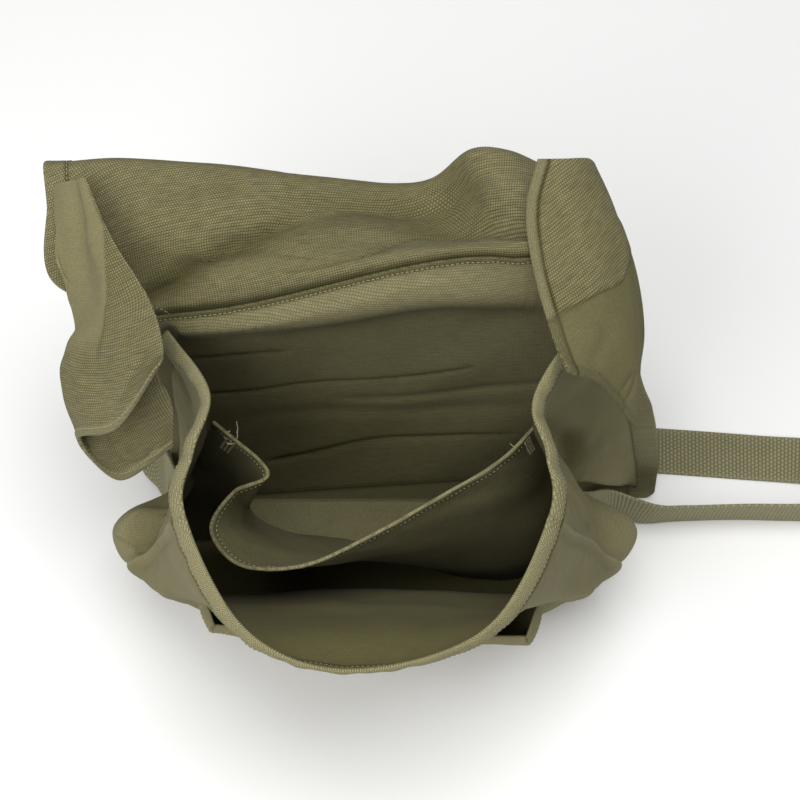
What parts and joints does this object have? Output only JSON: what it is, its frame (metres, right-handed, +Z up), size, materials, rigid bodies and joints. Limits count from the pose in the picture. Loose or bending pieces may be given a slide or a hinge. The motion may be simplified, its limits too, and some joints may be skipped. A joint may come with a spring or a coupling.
{
  "type": "canvas map case",
  "caption": "Soft canvas map case standing open, with folded gussets, an inner divider, a front pocket, a flap thrown back with folded ears, and a webbing shoulder strap.",
  "frame": {"origin": "on the underside of the bottom panel, where it rests on the floor", "axes": "+X to the right of the open bag's front, +Y towards the back panel, +Z up"},
  "size_m": [0.5064, 0.2863, 0.309],
  "materials": {
    "canvas": "matt olive cotton canvas, plain weave",
    "webbing": "matt olive ribbed cotton webbing"
  },
  "bodies": {
    "root": {"bottom_panel": "canvas", "back_panel": "canvas", "flap": "canvas", "left_gusset": "canvas", "front_panel": "canvas", "right_gusset": "canvas", "divider": "canvas", "front_pocket": "canvas", "left_ear": "canvas", "right_ear": "canvas", "shoulder_strap": "webbing"}
  },
  "joints": []
}
